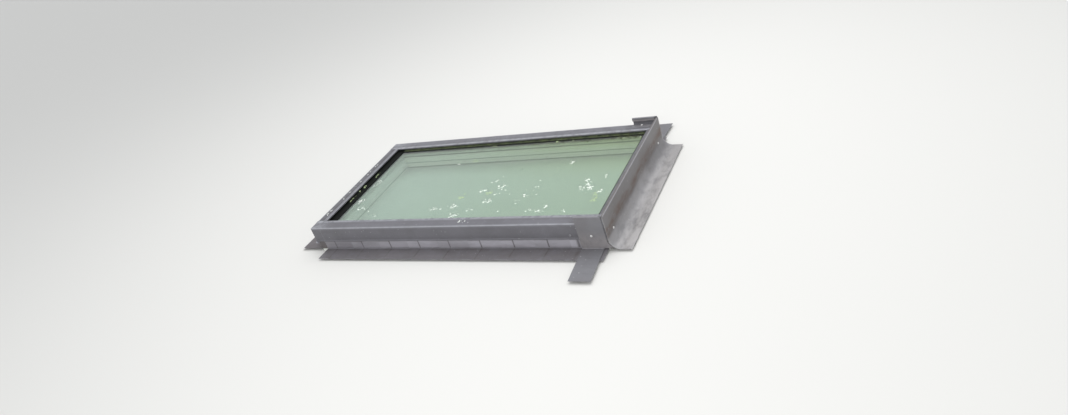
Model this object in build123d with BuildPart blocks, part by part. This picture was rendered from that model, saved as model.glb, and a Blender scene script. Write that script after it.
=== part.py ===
# Fixed roof skylight: a double-glazed timber frame, its folded metal covers and its flashing.
# Lengths are in millimetres. +Z is the outward normal of the roof deck and z = 0 is the deck itself.
# +Y points up the slope, from the sill to the head, and +X is to the right of someone looking up it.
# The origin is in the middle of the covers, on the deck.
import os
from math import acos, degrees

from build123d import *

os.makedirs("parts", exist_ok=True)

# Covers
cover_length = 1360.0
cover_width = 720.0
rim_height = 118.0
cover_sheet = 1.0
rim_radius = 3.0
fold_radius = 0.5
jamb_strip = 57.0
sill_strip = 48.0
head_strip = 34.0
bead_width = 15.0
bead_rise = 1.2
bead_slope = 4.0
lip_drop = 7.0
skirt_height = 66.0
head_skirt_height = 54.0
drip_height = 5.0
drip_kick = 2.0

# Timber frame
frame_setback = 7.0
jamb_timber = 56.0
sill_timber = 62.0
head_timber = 46.0
rebate_depth = 36.0
upstand_width = 12.0
nosing_height = 12.0
nosing_depth = 4.0
nosing_radius = 3.0
lining_height = 30.0
lining_depth = 10.0

# Glazing
tape_thickness = 2.0
tape_width = 14.0
tape_inset = 3.0
inner_pane = 6.4
spacer_height = 12.0
outer_pane = 4.0
pane_corner = 3.0
pane_arris = 0.6
edge_gap = 3.0
edge_seal = 8.0
spacer_width = 7.0
spacer_corner = 6.0
block_thickness = 5.0
block_length = 80.0
block_inset = 158.0
gasket_nose = 12.0
sill_gasket_nose = 40.0
gasket_root = 2.4
gasket_tip = 1.2
chamber_height = 5.0

# Flashing
flashing_sheet = 0.8
flashing_bend = 2.0
step_level = 8.0
roofing = 10.0
upstand_drop = 38.0
step_flange = 75.0
step_count = 9
step_lap = 54.0
lowest_step_setback = 38.0
last_step_length = 147.0
lap_gap = 0.2
jog_length = 2.0
apron_reach = 112.0
apron_toe = 8.0
apron_drop = 5.0
wing_lap = 52.0
head_rise = 26.0
cove_radius = 42.0
head_flange = 38.0
head_hem_width = 8.0
head_hem_drop = 12.0

# Corner legs and angles
leg_sheet = 1.0
leg_width = 109.0
leg_rise = 30.0
leg_lip_width = 8.0
leg_lip_drop = 13.0
leg_lip_setback = 8.0
leg_head_gap = 2.5
leg_toe = 18.0
leg_tab_width = 86.0
leg_tab_length = 180.0
leg_tab_skew = 4.0
leg_fold_strip = 8.0
angle_reach = 35.0
angle_upright = 20.0
angle_corner = 14.0
angle_setback = 2.0

# Deck brackets
bracket_thickness = 2.0
bracket_width = 60.0
bracket_drop = 58.0
bracket_foot = 65.0
bracket_setback = 230.0
bracket_corner = 8.0
deck_hole_radius = 3.5
deck_hole_reach = 42.0

# Fasteners
screw_radius = 2.2
countersunk_radius = 4.2
pan_radius = 4.5
pan_height = 2.6
pan_round = 1.8
frame_screw_length = 90.0
frame_screw_inset = 20.0
low_frame_screw = 18.0
high_frame_screw_drop = 27.0
bracket_screw_length = 28.0
bracket_screw_spacing = 36.0
bracket_screw_drop = 18.0
sheet_screw_length = 38.0
leg_screw_offset = 58.4
leg_screw_drop = 51.0
cover_screw_offset = 142.0
cover_screw_drop = 49.0
sill_screw_inset = 110.0
angle_screw_length = 28.0
angle_screw_offset = 69.0
head_screw_inset = 63.0
head_screw_rise = 1.0
nail_radius = 1.4
nail_head_radius = 4.0
nail_head_height = 1.0
nail_length = 26.0
nail_drop = 8.0
nail_inset = 20.0

# Clearances
seat_gap = 0.3
hole_gap = 0.1

# Planes across each side: the section's x is the distance outward from the middle, its y is the height
right_side = Plane.XZ
left_side = Plane(origin=(0, 0, 0), x_dir=(-1, 0, 0), z_dir=(0, 1, 0))
head_side = Plane.YZ
sill_side = Plane(origin=(0, 0, 0), x_dir=(0, -1, 0), z_dir=(-1, 0, 0))
jamb_sides = {"left": left_side, "right": right_side}
up_slope = (0, 1, 0)
hands = (-1, 1)

# Places that several pieces share
half_length = cover_length / 2
half_width = cover_width / 2
cover_fold = cover_sheet + fold_radius
frame_x = half_width - frame_setback
frame_y = half_length - frame_setback
frame_top = rim_height - cover_sheet - seat_gap
rebate_floor = rim_height - rebate_depth
skirt_bottom = rim_height - skirt_height
head_skirt_bottom = rim_height - head_skirt_height
upstand_top = rim_height - upstand_drop
inner_x = frame_x - jamb_timber
inner_head = frame_y - head_timber
inner_sill = frame_y - sill_timber
inner_pane_z = rebate_floor + tape_thickness
spacer_z = inner_pane_z + inner_pane
outer_pane_z = spacer_z + spacer_height
glass_top = outer_pane_z + outer_pane
pane_x = frame_x - upstand_width - edge_gap
pane_head = frame_y - upstand_width - edge_gap
pane_sill = frame_y - upstand_width - block_thickness
pane_length = pane_head + pane_sill
pane_middle = (pane_head - pane_sill) / 2
flashing_x = frame_x + seat_gap
flashing_y = frame_y + seat_gap
flashing_fold = flashing_sheet + flashing_bend
head_wall = half_length + seat_gap + flashing_sheet
head_top = rim_height + head_rise
head_flange_top = step_level + flashing_sheet
head_screw_height = head_flange_top + cove_radius + pan_radius + head_screw_rise
leg_inner = half_width + drip_kick + seat_gap
leg_outer = leg_inner + leg_sheet
leg_top = rim_height + leg_rise
leg_front = half_length - leg_width
bracket_height = rim_height - bracket_drop


def save(piece, name):
    """Name a finished piece and write it to its own file."""
    piece.part.label = name
    export_step(piece.part, f"parts/{name}.step")


def folded(plane, points, radii, sheet):
    """Section of a folded sheet. One face follows the points and the sheet lies on its left, or on its
    right if the thickness is negative. Each radius is that of the bend in the face that the points give."""
    corners = [Vector(*point) for point in points]
    runs = [(after - before).normalized() for before, after in zip(corners, corners[1:])]
    normals = [run.rotate(Axis.Z, 90) for run in runs]
    other = [corners[0] + normals[0] * sheet]
    other_radii = []
    for bend, radius in enumerate(radii):
        before, after = normals[bend], normals[bend + 1]
        other.append(corners[bend + 1] + (before + after) * (sheet / (1 + before.dot(after))))
        turn = 1 if before.cross(after).Z > 0 else -1
        other_radii.append(radius - turn * sheet)
    other.append(corners[-1] + normals[-1] * sheet)
    with BuildSketch(plane) as section:
        with BuildLine():
            FilletPolyline(*corners, radius=radii)
            FilletPolyline(*other, radius=other_radii)
            Line(corners[0], other[0])
            Line(corners[-1], other[-1])
        make_face()
    return section.sketch


def outline(plane, points):
    """Closed straight-sided outline on a plane."""
    with BuildSketch(plane) as section:
        with BuildLine():
            Polyline(*points, close=True)
        make_face()
    return section.sketch


def at_y(side, y):
    """The section plane of a long side, moved to a place along the slope."""
    return Plane(origin=(0, y, 0), x_dir=side.x_dir, z_dir=side.z_dir)


def facing(side, outward, along, height):
    """Plane on the face of a long side: x runs up the slope and z points away from the skylight."""
    spot = side.from_local_coords(Vector(outward, height, 0)) + Vector(0, along, 0)
    return Plane(origin=spot, x_dir=up_slope, z_dir=side.x_dir)


def facing_end(side, outward, across, height):
    """The same for the sill or the head: x runs across the skylight."""
    spot = side.from_local_coords(Vector(outward, height, 0)) + Vector(across, 0, 0)
    return Plane(origin=spot, x_dir=(1, 0, 0), z_dir=side.x_dir)


def above(side, outward, along, height):
    """Level plane over a place beside the skylight's middle line, for what goes straight down."""
    spot = side.from_local_coords(Vector(outward, height, 0)) + Vector(0, along, 0)
    return Plane(origin=spot, x_dir=(1, 0, 0), z_dir=(0, 0, 1))


# Fastener places, used by the screws and by the holes that they go through
frame_screw_places = [
    facing_end(side, frame_y, hand * (frame_x - frame_screw_inset), height)
    for side in (sill_side, head_side)
    for hand in hands
    for height in (low_frame_screw, rebate_floor - high_frame_screw_drop)
]
bracket_rows = (bracket_setback - half_length, 0.0, half_length - bracket_setback)
bracket_screw_rows = [row + hand * bracket_screw_spacing / 2 for row in bracket_rows for hand in hands]
leg_screw_row = half_length - leg_screw_offset
cover_screw_row = half_length - cover_screw_offset
angle_screw_row = half_length - angle_screw_offset
angle_screw_x = frame_x - upstand_width / 2
bracket_screw_height = bracket_height - bracket_screw_drop
leg_screw_height = rim_height - leg_screw_drop
cover_screw_height = rim_height - cover_screw_drop
sill_screw_x = half_width - sill_screw_inset
head_screw_x = half_width - head_screw_inset
lowest_step = lowest_step_setback - half_length
step_pitch = (frame_y - last_step_length - lowest_step) / (step_count - 1)
step_starts = [lowest_step + step_pitch * step for step in range(step_count)]
nail_rows = [start + step_lap + nail_inset for start in step_starts]
nail_height = upstand_top - nail_drop


# Timber frame
def timber_section(plane, inner, outer):
    """Frame member: glazing rebate on top, nosing under the glass, lining rebate at the deck."""
    with BuildSketch(plane) as section:
        with BuildLine():
            Polyline(
                (outer, 0),
                (outer, frame_top),
                (outer - upstand_width, frame_top),
                (outer - upstand_width, rebate_floor),
                (inner, rebate_floor),
                (inner, rebate_floor - nosing_height),
                (inner + nosing_depth, rebate_floor - nosing_height - nosing_depth),
                (inner + nosing_depth, lining_height),
                (inner + lining_depth, lining_height),
                (inner + lining_depth, 0),
                close=True,
            )
        make_face()
        fillet(section.vertices().sort_by_distance(Vector(inner, rebate_floor))[0:1], nosing_radius)
    return section.sketch


with BuildPart() as sill_blank:
    extrude(timber_section(sill_side, inner_sill, frame_y), amount=frame_x, both=True)
with BuildPart() as head_blank:
    extrude(timber_section(head_side, inner_head, frame_y), amount=frame_x, both=True)

with BuildPart() as frame_sill:
    add(sill_blank.part)
    with Locations(*[place for place in frame_screw_places if place.origin.Y < 0]):
        CounterSinkHole(screw_radius + hole_gap, countersunk_radius + hole_gap, counter_sink_angle=90)
    for hand in hands:
        with Locations(facing_end(sill_side, frame_y, hand * sill_screw_x, cover_screw_height)):
            Hole(screw_radius + hole_gap, depth=sheet_screw_length)
save(frame_sill, "frame_sill")

with BuildPart() as frame_head:
    add(head_blank.part)
    with Locations(*[place for place in frame_screw_places if place.origin.Y > 0]):
        CounterSinkHole(screw_radius + hole_gap, countersunk_radius + hole_gap, counter_sink_angle=90)
    for hand in hands:
        with Locations(facing_end(head_side, frame_y, hand * head_screw_x, head_screw_height)):
            Hole(screw_radius + hole_gap, depth=sheet_screw_length)
save(frame_head, "frame_head")

# Each jamb is coped round the sill and the head, holds its brackets in pockets and takes the side screws
for hand, side in jamb_sides.items():
    with BuildPart() as frame_jamb:
        extrude(timber_section(side, inner_x, frame_x), amount=frame_y, both=True)
        add(sill_blank.part, mode=Mode.SUBTRACT)
        add(head_blank.part, mode=Mode.SUBTRACT)
        for row in bracket_rows:
            with BuildSketch(facing(side, frame_x, row, bracket_height / 2)) as pocket:
                Rectangle(bracket_width + 2 * seat_gap, bracket_height + 2 * seat_gap)
            extrude(pocket.sketch, amount=-bracket_thickness, mode=Mode.SUBTRACT)
        own_ends = [place for place in frame_screw_places if place.origin.X * side.x_dir.X > 0]
        with Locations(*own_ends):
            Hole(screw_radius + hole_gap, depth=frame_screw_length + hole_gap)
        with Locations(*[facing(side, frame_x, row, bracket_screw_height) for row in bracket_screw_rows]):
            Hole(screw_radius + hole_gap, depth=bracket_screw_length)
        with Locations(*[facing(side, frame_x, row, nail_height) for row in nail_rows]):
            Hole(nail_radius + hole_gap, depth=nail_length)
        with Locations(facing(side, frame_x, leg_screw_row, leg_screw_height)):
            Hole(screw_radius + hole_gap, depth=sheet_screw_length)
        with Locations(facing(side, frame_x, cover_screw_row, cover_screw_height)):
            Hole(screw_radius + hole_gap, depth=sheet_screw_length)
        with Locations(above(side, angle_screw_x, angle_screw_row, frame_top)):
            Hole(screw_radius + hole_gap, depth=angle_screw_length)
    save(frame_jamb, f"frame_jamb_{hand}")


# Sealed glazing unit, its bed and its blocks
def pane(bottom, thickness):
    """One pane with rounded corners and ground edges."""
    with BuildPart() as glass:
        with BuildSketch(Plane.XY.offset(bottom)):
            with Locations((0, pane_middle)):
                RectangleRounded(2 * pane_x, pane_length, pane_corner)
        extrude(amount=thickness)
        chamfer(glass.faces().filter_by(Axis.Z).edges(), pane_arris)
    return glass


def ring(bottom, height, outer_inset, width, outer_corner, inner_corner):
    """Flat ring that follows the edge of the panes."""
    with BuildPart() as band:
        with BuildSketch(Plane.XY.offset(bottom)):
            with Locations((0, pane_middle)):
                across = 2 * (pane_x - outer_inset)
                along = pane_length - 2 * outer_inset
                RectangleRounded(across, along, outer_corner)
                RectangleRounded(across - 2 * width, along - 2 * width, inner_corner, mode=Mode.SUBTRACT)
        extrude(amount=height)
    return band


save(pane(inner_pane_z, inner_pane), "glass_inner_pane")
save(pane(outer_pane_z, outer_pane), "glass_outer_pane")
seal_corner = spacer_corner + spacer_width
save(ring(spacer_z, spacer_height, edge_seal, spacer_width, seal_corner, spacer_corner), "glass_spacer")
save(ring(spacer_z, spacer_height, 0, edge_seal, pane_corner, seal_corner), "glass_edge_seal")
tape_outer = pane_head - inner_head - tape_inset - tape_width
save(ring(rebate_floor, tape_thickness, tape_outer, tape_width, tape_width, tape_width / 2), "glazing_tape")

with BuildPart() as setting_blocks:
    with BuildSketch(Plane.XY.offset(rebate_floor)):
        with Locations((0, -pane_sill - block_thickness / 2)):
            with GridLocations(2 * (pane_x - block_inset), 0, 2, 1):
                Rectangle(block_length, block_thickness)
    extrude(amount=glass_top - rebate_floor)
save(setting_blocks, "setting_blocks")


# Gaskets: a hollow strip under each cover, with a thin lip that lies on the glass beyond the cover's fold
def gasket_section(plane, outer, fold, nose):
    """Section between the frame's upstand at outer and the cover's fold at fold."""
    top = rim_height - cover_sheet
    shoulder = rim_height + bead_rise - lip_drop - seat_gap
    with BuildSketch(plane) as section:
        with BuildLine():
            Polyline(
                (outer, glass_top),
                (outer, top),
                (fold + cover_sheet + seat_gap, top),
                (fold + cover_sheet + seat_gap, shoulder),
                (fold, shoulder),
                (fold, glass_top + gasket_root),
                (fold - nose, glass_top + gasket_tip),
                (fold - nose, glass_top),
                close=True,
            )
        make_face()
        middle = (fold + outer + cover_sheet) / 2
        chamber = (outer - fold - cover_sheet) / 2
        with Locations((middle, (glass_top + top) / 2)):
            RectangleRounded(chamber, chamber_height, chamber_height / 2 - hole_gap, mode=Mode.SUBTRACT)
    return section.sketch


jamb_fold = half_width - jamb_strip
sill_fold = half_length - sill_strip
head_fold = half_length - head_strip
gasket_x = frame_x - upstand_width
gasket_y = frame_y - upstand_width

with BuildPart() as gasket_sill:
    extrude(gasket_section(sill_side, gasket_y, sill_fold, sill_gasket_nose), amount=gasket_x, both=True)
save(gasket_sill, "gasket_sill")

with BuildPart() as gasket_head:
    extrude(gasket_section(head_side, gasket_y, head_fold, gasket_nose), amount=gasket_x, both=True)
save(gasket_head, "gasket_head")

for hand, side in jamb_sides.items():
    with BuildPart() as gasket_jamb:
        section = gasket_section(at_y(side, -sill_fold + sill_gasket_nose), gasket_x, jamb_fold, gasket_nose)
        extrude(section, amount=sill_fold - sill_gasket_nose + head_fold - gasket_nose, dir=up_slope)
    save(gasket_jamb, f"gasket_jamb_{hand}")


# Covers
def cover_section(plane, outer, strip, bottom, kick):
    """Cover: skirt with a drip lip, rolled rim, flat strip, raised bead and a fold down to the glass."""
    bead_top = rim_height + bead_rise
    points = [
        (outer, bottom),
        (outer, rim_height),
        (outer - strip + bead_width, rim_height),
        (outer - strip + bead_width - bead_slope, bead_top),
        (outer - strip, bead_top),
        (outer - strip, bead_top - lip_drop),
    ]
    radii = [rim_radius, bead_slope, bead_slope, cover_fold]
    if kick:
        points[0:1] = [(outer + kick, bottom), (outer, bottom + drip_height)]
        radii[0:0] = [cover_fold]
    return folded(plane, points, radii, cover_sheet)


def skirt_section(plane, outer, bottom, kick):
    """The skirt alone, up to where the rim begins to turn."""
    points = [(outer, bottom), (outer, rim_height - rim_radius)]
    if kick:
        points[0:1] = [(outer + kick, bottom), (outer, bottom + drip_height)]
        return folded(plane, points, [cover_fold], cover_sheet)
    return outline(plane, [*points, (outer - cover_sheet, points[1][1]), (outer - cover_sheet, bottom)])


def end_cover(plane, strip, bottom, kick):
    """Sill or head cover: its strip lies between the jamb covers, its skirt runs on behind theirs."""
    with BuildPart() as cover:
        section = cover_section(plane, half_length, strip, bottom, kick)
        extrude(section, amount=jamb_fold - seat_gap, both=True)
        reach = half_width - cover_sheet - seat_gap
        extrude(skirt_section(plane, half_length, bottom, kick), amount=reach, both=True)
    return cover


with BuildPart() as sill_cover:
    add(end_cover(sill_side, sill_strip, skirt_bottom, drip_kick).part)
    for hand in hands:
        with Locations(facing_end(sill_side, half_length, hand * sill_screw_x, cover_screw_height)):
            Hole(screw_radius + hole_gap, depth=sheet_screw_length)
save(sill_cover, "sill_cover")

with BuildPart() as head_cover:
    add(end_cover(head_side, head_strip, head_skirt_bottom, 0).part)
    for hand in hands:
        with Locations(facing_end(head_side, half_length, hand * head_screw_x, head_screw_height)):
            Hole(screw_radius + hole_gap, depth=sheet_screw_length)
save(head_cover, "head_cover")

for hand, side in jamb_sides.items():
    with BuildPart() as jamb_cover:
        section = cover_section(side, half_width, jamb_strip, skirt_bottom, drip_kick)
        extrude(section, amount=half_length, both=True)
        # The fold is notched where it would cross the sill and the head of the frame
        with BuildSketch(Plane.XY.offset(glass_top)):
            for inner_end, outer_end in ((-sill_fold, -half_length), (head_fold, half_length)):
                with Locations((side.x_dir.X * jamb_fold, (inner_end + outer_end) / 2)):
                    Rectangle(2 * bead_width, abs(outer_end - inner_end))
        extrude(amount=rim_height - cover_sheet - glass_top, mode=Mode.SUBTRACT)
        with Locations(facing(side, half_width, cover_screw_row, cover_screw_height)):
            Hole(screw_radius + hole_gap, depth=sheet_screw_length)
        with Locations(facing(side, half_width, leg_screw_row, leg_screw_height)):
            Hole(screw_radius + hole_gap, depth=sheet_screw_length)
        with Locations(above(side, angle_screw_x, angle_screw_row, rim_height)):
            Hole(screw_radius + hole_gap, depth=angle_screw_length)
    save(jamb_cover, f"jamb_cover_{hand}")


# Sill flashing: apron and upstand in one fold, with a wing round each corner
with BuildPart() as sill_flashing:
    apron_end = half_length + apron_reach
    points = [
        (flashing_y, upstand_top),
        (flashing_y, roofing),
        (apron_end - apron_toe, roofing),
        (apron_end, roofing - apron_drop),
    ]
    section = folded(sill_side, points, [flashing_fold, flashing_fold], flashing_sheet)
    extrude(section, amount=flashing_x + flashing_sheet, both=True)
    wing_end = -lowest_step - wing_lap
    wing_length = flashing_y + flashing_sheet - wing_end
    with BuildSketch(Plane.XY.offset(roofing)):
        with Locations((0, -wing_end - wing_length / 2)):
            with GridLocations(2 * flashing_x + flashing_sheet, 0, 2, 1):
                Rectangle(flashing_sheet, wing_length)
    extrude(amount=upstand_top - roofing)
    for hand in hands:
        with Locations(facing_end(sill_side, half_length, hand * sill_screw_x, cover_screw_height)):
            Hole(screw_radius + hole_gap, depth=sheet_screw_length)
save(sill_flashing, "sill_flashing")


# Step flashing: lapped angles, the lower end of each joggled out over the one below
def step_section(side, start, shift, sheet):
    """Angle with its upstand against the frame and its flange over the roofing."""
    inner = flashing_x + shift
    level = step_level + shift
    points = [(inner, upstand_top), (inner, level), (flashing_x + step_flange, level)]
    return folded(at_y(side, start), points, [flashing_fold], sheet)


lap_shift = flashing_sheet + lap_gap
for hand, side in jamb_sides.items():
    for step, start in enumerate(step_starts, start=1):
        end = min(start + step_pitch + step_lap - jog_length, frame_y)
        jog = start + step_lap
        with BuildPart() as step_flashing:
            extrude(step_section(side, start, lap_shift, flashing_sheet), amount=step_lap, dir=up_slope)
            extrude(step_section(side, jog, 0, flashing_sheet + lap_shift), amount=jog_length, dir=up_slope)
            extrude(step_section(side, jog, 0, flashing_sheet), amount=end - jog, dir=up_slope)
            with Locations(facing(side, half_width, nail_rows[step - 1], nail_height)):
                Hole(nail_radius + hole_gap, depth=nail_length)
            with Locations(facing(side, half_width, leg_screw_row, leg_screw_height)):
                Hole(screw_radius + hole_gap, depth=sheet_screw_length)
            with Locations(facing(side, half_width, cover_screw_row, cover_screw_height)):
                Hole(screw_radius + hole_gap, depth=sheet_screw_length)
        save(step_flashing, f"step_flashing_{hand}_{step}")

# Head flashing: a wall with a hem on top and a wide cove down to its flange
with BuildPart() as head_flashing:
    flange_end = head_wall + cove_radius + head_flange
    points = [(head_wall, head_top), (head_wall, head_flange_top), (flange_end, head_flange_top)]
    section = folded(head_side, points, [cove_radius], -flashing_sheet)
    extrude(section, amount=leg_outer, both=True)
    points = [
        (head_wall - head_hem_width, head_top - head_hem_drop),
        (head_wall - head_hem_width, head_top),
        (head_wall, head_top),
        (head_wall, head_top - head_hem_drop),
    ]
    section = folded(head_side, points, [flashing_fold, flashing_fold], -flashing_sheet)
    extrude(section, amount=leg_inner - leg_lip_width, both=True)
    for hand in hands:
        with Locations(facing_end(head_side, head_wall, hand * head_screw_x, head_screw_height)):
            Hole(screw_radius + hole_gap, depth=sheet_screw_length)
save(head_flashing, "head_flashing")

# Corner leg: a plate that follows the cove of the head flashing, a lip on top and a tab along the roof
with BuildPart() as corner_leg_right:
    cove_middle = head_wall + cove_radius
    cove_height = head_flange_top + cove_radius
    edge_radius = cove_radius + flashing_sheet + leg_head_gap
    edge = cove_middle - edge_radius
    toe_turn = degrees(acos(1 - leg_toe / edge_radius))
    tab_top = roofing + seat_gap + leg_sheet
    fold_line = tab_top + cover_fold
    with BuildSketch(Plane.YZ.offset(leg_inner)):
        with BuildLine():
            cove = CenterArc((cove_middle, cove_height), edge_radius, 180, toe_turn)
            front = [(leg_front, leg_top), (leg_front, fold_line), (leg_front + leg_tab_width, fold_line)]
            Polyline(cove @ 0, (edge, leg_top), *front, cove @ 1)
        make_face()
    extrude(amount=leg_sheet)
    points = [
        (leg_outer, leg_top - leg_lip_drop),
        (leg_outer, tab_top),
        (leg_outer + leg_fold_strip, tab_top),
    ]
    fold = folded(at_y(right_side, leg_front), points, [cover_fold], -leg_sheet)
    extrude(fold, amount=leg_tab_width, dir=up_slope)
    points = [
        (leg_outer - leg_lip_width, leg_top - leg_lip_drop),
        (leg_outer - leg_lip_width, leg_top),
        (leg_outer, leg_top),
        (leg_outer, leg_top - leg_lip_drop),
    ]
    lip = folded(at_y(right_side, leg_front), points, [cover_fold, cover_fold], -leg_sheet)
    extrude(lip, amount=edge - leg_lip_setback - leg_front, dir=up_slope)
    with BuildSketch(Plane.XY.offset(tab_top - leg_sheet)):
        root = (leg_outer + leg_fold_strip / 2, leg_front + leg_tab_width / 2)
        with Locations(Location((*root, 0), leg_tab_skew)):
            Rectangle(leg_tab_length, leg_tab_width, align=(Align.MIN, Align.CENTER))
    extrude(amount=leg_sheet)
    with Locations(facing(right_side, leg_outer, leg_screw_row, leg_screw_height)):
        Hole(screw_radius + hole_gap, depth=sheet_screw_length)
save(corner_leg_right, "corner_leg_right")

with BuildPart() as corner_leg_left:
    mirror(corner_leg_right.part, about=Plane.YZ)
save(corner_leg_left, "corner_leg_left")

# Corner angles: they stand inside the legs and lie on the jamb covers
angle_outer = leg_inner - lap_gap
for hand, side in jamb_sides.items():
    with BuildPart() as corner_angle:
        level = rim_height + seat_gap
        points = [
            (angle_outer, level + angle_upright),
            (angle_outer, level),
            (angle_outer - angle_reach, level),
        ]
        section = folded(at_y(side, leg_front), points, [cover_fold], -leg_sheet)
        extrude(section, amount=half_length - angle_setback - leg_front, dir=up_slope)
        inner_edges = corner_angle.edges().filter_by(Axis.Z).sort_by(lambda edge: abs(edge.center().X))[0:2]
        fillet(inner_edges, angle_corner)
        with Locations(above(side, angle_screw_x, angle_screw_row, level + leg_sheet)):
            Hole(screw_radius + hole_gap, depth=angle_screw_length)
    save(corner_angle, f"corner_angle_{hand}")

# Deck brackets, flush in their pockets, each with a hole for the deck fixing
for hand, side in jamb_sides.items():
    for number, row in enumerate(bracket_rows, start=1):
        with BuildPart() as bracket:
            points = [
                (frame_x, bracket_height),
                (frame_x, bracket_thickness),
                (frame_x - bracket_thickness + bracket_foot, bracket_thickness),
            ]
            start = at_y(side, row - bracket_width / 2)
            section = folded(start, points, [flashing_bend], -bracket_thickness)
            extrude(section, amount=bracket_width, dir=up_slope)
            outer_edges = bracket.edges().filter_by(Axis.Z).sort_by(lambda edge: -abs(edge.center().X))[0:2]
            fillet(outer_edges, bracket_corner)
            with Locations(above(side, frame_x + deck_hole_reach, row, bracket_thickness)):
                Hole(deck_hole_radius, depth=bracket_thickness)
            screw_rows = [row - bracket_screw_spacing / 2, row + bracket_screw_spacing / 2]
            with Locations(*[facing(side, frame_x, place, bracket_screw_height) for place in screw_rows]):
                CounterSinkHole(screw_radius + hole_gap, countersunk_radius + hole_gap, counter_sink_angle=90)
        save(bracket, f"bracket_{hand}_{number}")


# Fasteners, one group for each kind and use
def countersunk_screws(places, length):
    """Flat-headed wood screws, each with its head flush in its plane."""
    with BuildPart() as screws:
        with Locations(*places):
            Cylinder(screw_radius, length, align=(Align.CENTER, Align.CENTER, Align.MAX))
            head = countersunk_radius - screw_radius
            Cone(screw_radius, countersunk_radius, head, align=(Align.CENTER, Align.CENTER, Align.MAX))
    return screws


def pan_screws(places, length):
    """Screws with a domed head that sits on its plane."""
    with BuildPart() as screw:
        Cylinder(screw_radius, length, align=(Align.CENTER, Align.CENTER, Align.MAX))
        Cylinder(pan_radius, pan_height, align=(Align.CENTER, Align.CENTER, Align.MIN))
        fillet(screw.edges().group_by(Axis.Z)[-1], pan_round)
    with BuildPart() as group:
        with Locations(*places):
            add(screw.part)
    return group


def nails(places):
    """Flat-headed nails, driven home."""
    with BuildPart() as group:
        with Locations(*places):
            Cylinder(nail_radius, nail_length, align=(Align.CENTER, Align.CENTER, Align.MAX))
            Cylinder(nail_head_radius, nail_head_height, align=(Align.CENTER, Align.CENTER, Align.MIN))
    return group


both_sides = list(jamb_sides.values())
save(countersunk_screws(frame_screw_places, frame_screw_length), "frame_screws")
places = [
    facing(side, frame_x, row, bracket_screw_height) for side in both_sides for row in bracket_screw_rows
]
save(countersunk_screws(places, bracket_screw_length), "bracket_screws")
places = [
    facing(side, flashing_x + flashing_sheet, row, nail_height) for side in both_sides for row in nail_rows
]
save(nails(places), "flashing_nails")
places = [facing(side, leg_outer, leg_screw_row, leg_screw_height) for side in both_sides]
save(pan_screws(places, sheet_screw_length), "leg_screws")
places = [facing(side, half_width, cover_screw_row, cover_screw_height) for side in both_sides]
places += [facing_end(sill_side, half_length, hand * sill_screw_x, cover_screw_height) for hand in hands]
save(pan_screws(places, sheet_screw_length), "cover_screws")
angle_top = rim_height + seat_gap + leg_sheet
places = [above(side, angle_screw_x, angle_screw_row, angle_top) for side in both_sides]
save(pan_screws(places, angle_screw_length), "angle_screws")
places = [facing_end(head_side, head_wall, hand * head_screw_x, head_screw_height) for hand in hands]
save(pan_screws(places, sheet_screw_length), "head_flashing_screws")
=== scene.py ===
# Roof skylight: the looks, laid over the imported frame.
# Metres, +Z away from the roof, +Y up the slope, +X to the right of someone looking up it.
import math

import bpy
import numpy as np
from mathutils import Matrix


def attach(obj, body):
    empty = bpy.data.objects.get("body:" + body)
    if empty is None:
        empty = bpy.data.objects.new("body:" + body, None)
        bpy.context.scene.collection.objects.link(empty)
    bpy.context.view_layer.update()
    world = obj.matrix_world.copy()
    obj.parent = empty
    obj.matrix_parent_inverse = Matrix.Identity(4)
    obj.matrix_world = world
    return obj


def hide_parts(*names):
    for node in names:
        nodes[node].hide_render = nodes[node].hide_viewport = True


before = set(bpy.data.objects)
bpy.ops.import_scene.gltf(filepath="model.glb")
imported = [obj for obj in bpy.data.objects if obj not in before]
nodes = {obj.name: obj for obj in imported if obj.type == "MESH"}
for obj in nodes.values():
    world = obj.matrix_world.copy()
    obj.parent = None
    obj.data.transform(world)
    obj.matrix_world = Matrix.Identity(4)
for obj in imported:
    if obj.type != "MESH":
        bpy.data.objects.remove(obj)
scene = bpy.context.scene
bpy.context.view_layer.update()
print("frame loaded:", len(nodes), "nodes")


# Node helpers: most add one shader node and return the socket that the next one reads
def plug(node, inputs):
    for name, value in inputs.items():
        if isinstance(value, bpy.types.NodeSocket):
            node.id_data.links.new(value, node.inputs[name])
        else:
            node.inputs[name].default_value = value


def addNode(kind, inputs, tree=None, **settings):  # in the tree of the sockets it reads, or the given one
    tree = tree or next(value.id_data for value in inputs.values() if isinstance(value, bpy.types.NodeSocket))
    made = tree.nodes.new("ShaderNode" + kind)
    for name, value in settings.items():
        setattr(made, name, value)
    plug(made, inputs)
    return made


def calc(operation, first, second=0):
    return addNode("Math", {0: first, 1: second}, operation=operation).outputs[0]


def product(first, second):
    return calc("MULTIPLY", first, second)


def smoothStep(value, low, high, start=0, end=1):  # from start, below low, to end, above high
    inputs = {"Value": value, "From Min": low, "From Max": high, "To Min": start, "To Max": end}
    return addNode("MapRange", inputs, interpolation_type="SMOOTHSTEP").outputs[0]


def srgb(red, green, blue):  # screen colour, 0 to 255, to the linear colour that shaders use
    shares = np.array([red, green, blue]) / 255
    linear = np.where(shares <= 0.04045, shares / 12.92, ((shares + 0.055) / 1.055) ** 2.4)
    return (*linear.tolist(), 1)


def blendColour(share, *colours):  # two sockets or screen colours
    first, second = (srgb(*colour) if isinstance(colour, tuple) else colour for colour in colours)
    return addNode("Mix", {0: share, 6: first, 7: second}, data_type="RGBA").outputs[2]


def overlay(colour, share, top, strength):  # the top colour laid over, by the share times the strength
    return blendColour(product(share, strength), colour, top)


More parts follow.
